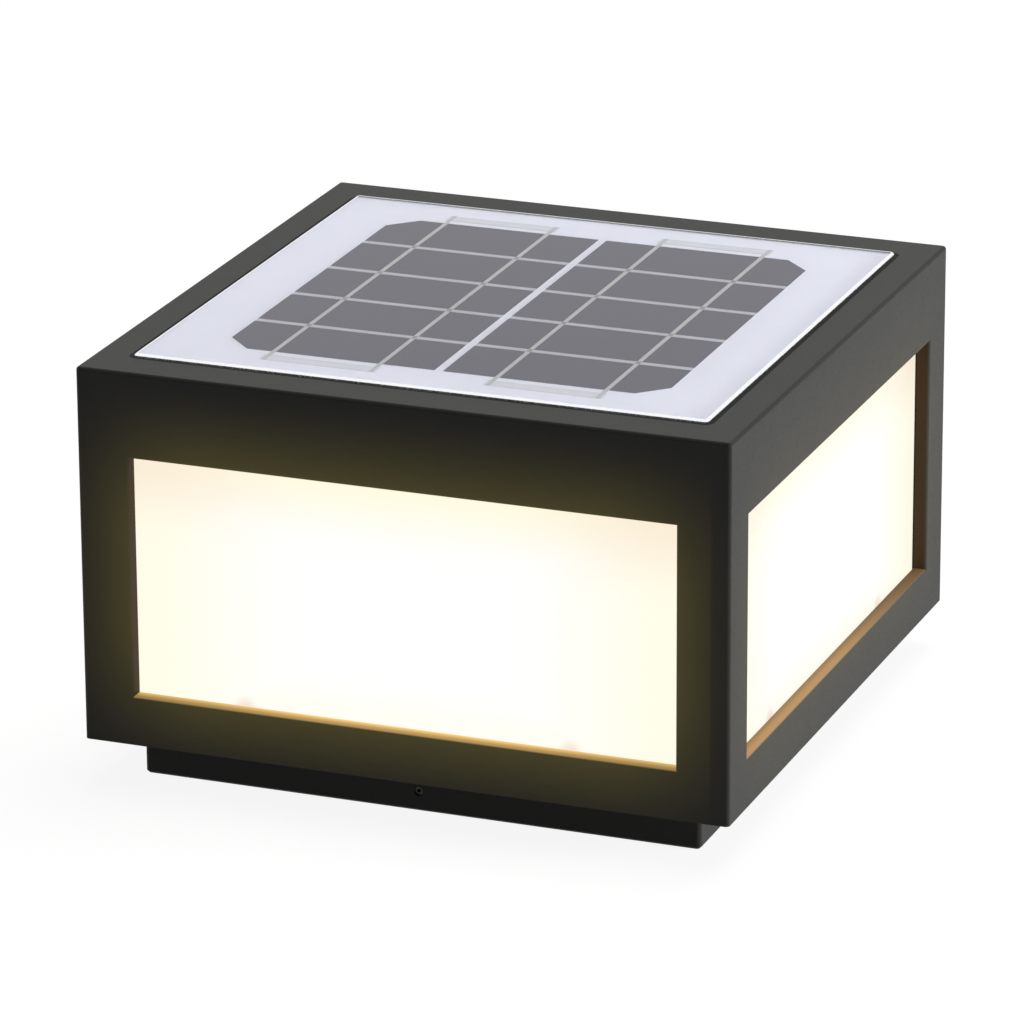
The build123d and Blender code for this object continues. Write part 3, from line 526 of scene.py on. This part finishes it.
# Materials with only the common finish: dark and light colour, range of roughness, grain and its strength
PLAIN_FINISHES = {
    "white_coat": ((0.84, 0.84, 0.82), (0.88, 0.88, 0.86), (0.5, 0.62), 1400, 0.1),
    "black_steel": ((0.018, 0.018, 0.018), (0.03, 0.03, 0.03), (0.35, 0.5), 1600, 0.08),
    "black_plastic": ((0.018, 0.018, 0.02), (0.03, 0.03, 0.032), (0.45, 0.6), 1300, 0.12),
    "white_plastic": ((0.78, 0.78, 0.74), (0.83, 0.83, 0.79), (0.4, 0.55), 1200, 0.06),
    "cell_sleeve": ((0.03, 0.15, 0.38), (0.05, 0.19, 0.44), (0.22, 0.34), 500, 0.05),
    "lead_red": ((0.36, 0.012, 0.012), (0.45, 0.02, 0.02), (0.35, 0.48), 1500, 0.06),
    "button_red": ((0.42, 0.014, 0.014), (0.5, 0.02, 0.02), (0.3, 0.42), 1400, 0.05),
    "black_rubber": ((0.012, 0.012, 0.012), (0.02, 0.02, 0.02), (0.6, 0.75), 1600, 0.15),
    "zinc_steel": ((0.5, 0.5, 0.49), (0.62, 0.62, 0.6), (0.25, 0.4), 1500, 0.05),
    "bare_cast": ((0.52, 0.52, 0.53), (0.62, 0.62, 0.62), (0.3, 0.45), 1400, 0.06),
    "bus_strip": ((0.62, 0.625, 0.67), (0.68, 0.685, 0.73), (0.35, 0.5), 1800, 0.1),
}
SPECIAL_TRAITS = {
    "black_rubber": {"gloss": 0.1},
    "zinc_steel": {"depth": 0.0001, "metal": 1.0},
    "bare_cast": {"depth": 0.0001, "metal": 1.0},
    "bus_strip": {"depth": 0.0001, "metal": 0.2, "stretch": (0.1, 1, 1)},
}
materials = {
    "charcoal_lit": charcoal_coat("charcoal_lit", True),
    "charcoal_coat": charcoal_coat("charcoal_coat", False),
    "opal_acrylic": opal_acrylic(),
    "clear_glass": solar_glass(),
    "silicon_cell": silicon_cell(),
    "white_backsheet": white_sheet(),
    "tinned_ribbon": tinned_ribbon(),
    "board_green": printed_board("board_green", (0.016, 0.13, 0.05), (0.03, 0.2, 0.08)),
    "board_white": printed_board("board_white", (0.84, 0.85, 0.83), (0.9, 0.9, 0.88)),
    "led_yellow": phosphor(),
}
for title, values in PLAIN_FINISHES.items():
    materials[title] = plain_surface(title, *values, **SPECIAL_TRAITS.get(title, {}))

# Every solid takes the finish of its slot in the record, but two have a version of their own
own_finish = {"housing": "charcoal_lit", "bus_ribbons": "bus_strip"}
for part in frame["record"]["subparts"]:
    shown = nodes[part["node"]]
    finish = own_finish.get(part["node"], part["material_slot"])
    shown.data.materials.clear()
    shown.data.materials.append(materials[finish])


# Stage

def pale_to_sight(tree, plain, seen):
    """Mixes two shaders: one for light that bounces, one for what the camera, gloss and glass see."""
    path = tree.nodes.new("ShaderNodeLightPath")
    sight = path.outputs["Is Camera Ray"]
    for other in ("Is Glossy Ray", "Is Transmission Ray"):
        sight = calc(tree, "MAXIMUM", sight, path.outputs[other])
    # Light that a matt surface has already scattered is no sight, even if it then passes the glass
    scattered = calc(tree, "GREATER_THAN", path.outputs["Diffuse Depth"], 0.5)
    return blend_shaders(tree, calc(tree, "SUBTRACT", sight, scattered), plain, seen)


def make_floor():
    """A wide pale floor that keeps the light's own shadow."""
    mesh = bpy.data.meshes.new("floor")
    signs = ((-1, -1), (1, -1), (1, 1), (-1, 1))
    mesh.from_pydata([(x * FLOOR_REACH, y * FLOOR_REACH, FLOOR_LEVEL) for x, y in signs], [], [(0, 1, 2, 3)])
    floor = bpy.data.objects.new("floor", mesh)
    bpy.context.scene.collection.objects.link(floor)
    material, tree, shader = new_material("floor_pale")
    tree.nodes.remove(shader)
    plain = tree.nodes.new("ShaderNodeBsdfDiffuse")
    plain.inputs["Color"].default_value = (FLOOR_BOUNCE, FLOOR_BOUNCE, FLOOR_BOUNCE, 1)
    pale = tree.nodes.new("ShaderNodeBsdfDiffuse")
    pale.inputs["Color"].default_value = (FLOOR_PALE, FLOOR_PALE, FLOOR_PALE, 1)
    lift = tree.nodes.new("ShaderNodeEmission")
    lift.inputs["Strength"].default_value = FLOOR_LIFT
    both = tree.nodes.new("ShaderNodeAddShader")
    tree.links.new(pale.outputs[0], both.inputs[0])
    tree.links.new(lift.outputs[0], both.inputs[1])
    surface = pale_to_sight(tree, plain.outputs[0], both.outputs[0])
    tree.links.new(surface, tree.nodes["Material Output"].inputs[0])
    mesh.materials.append(material)


def make_world():
    """A dim even surround that the camera, gloss and glass see as white."""
    world = bpy.data.worlds.new("studio")
    bpy.context.scene.world = world
    world.use_nodes = True
    tree = world.node_tree
    dim = tree.nodes["Background"]
    dim.inputs["Color"].default_value = (1, 1, 1, 1)
    dim.inputs["Strength"].default_value = WORLD_LIGHT
    white = tree.nodes.new("ShaderNodeBackground")
    white.inputs["Color"].default_value = (1, 1, 1, 1)
    surround = pale_to_sight(tree, dim.outputs[0], white.outputs[0])
    tree.links.new(surround, tree.nodes["World Output"].inputs[0])


def way_out(azimuth, elevation):
    """The direction from the object at two angles in radians. Azimuth 0 is the front, counted towards +X."""
    level = math.cos(elevation)
    return Vector((math.sin(azimuth) * level, -math.cos(azimuth) * level, math.sin(elevation)))


def soft_lamp(name, azimuth, elevation, distance, size, power):
    """A square soft box that faces the middle of the object, placed by angles in degrees."""
    aim = Vector((0, 0, WINDOW_MIDDLE))
    way = way_out(math.radians(azimuth), math.radians(elevation))
    lamp = bpy.data.lights.new(name, "AREA")
    lamp.size = size
    lamp.energy = power
    holder = bpy.data.objects.new(name, lamp)
    turn = way.to_track_quat("Z", "Y").to_matrix().to_4x4()
    holder.matrix_world = Matrix.Translation(aim + way * distance) @ turn
    # The surround alone is what gloss and glass mirror
    holder.visible_glossy = False
    bpy.context.scene.collection.objects.link(holder)


def make_camera():
    """A long lens from the front right, a little above."""
    back = way_out(CAMERA_AZIMUTH, CAMERA_ELEVATION)
    level = Vector((math.cos(CAMERA_AZIMUTH), math.sin(CAMERA_AZIMUTH), 0))
    upright = back.cross(level)
    right = math.cos(CAMERA_ROLL) * level + math.sin(CAMERA_ROLL) * upright
    up = math.cos(CAMERA_ROLL) * upright - math.sin(CAMERA_ROLL) * level
    lens = bpy.data.cameras.new("camera")
    lens.lens = CAMERA_LENS
    lens.sensor_width = 36
    lens.clip_end = 100
    holder = bpy.data.objects.new("camera", lens)
    holder.matrix_world = Matrix.Translation(CAMERA_EYE) @ Matrix((right, up, back)).transposed().to_4x4()
    bpy.context.scene.collection.objects.link(holder)
    bpy.context.scene.camera = holder


make_floor()
make_world()
soft_lamp("key_right", azimuth=106, elevation=8, distance=2.2, size=0.7, power=28.5)
soft_lamp("top_soft", azimuth=150, elevation=75, distance=2.2, size=1.6, power=22.8)
make_camera()
bpy.context.scene.view_settings.view_transform = "Standard"
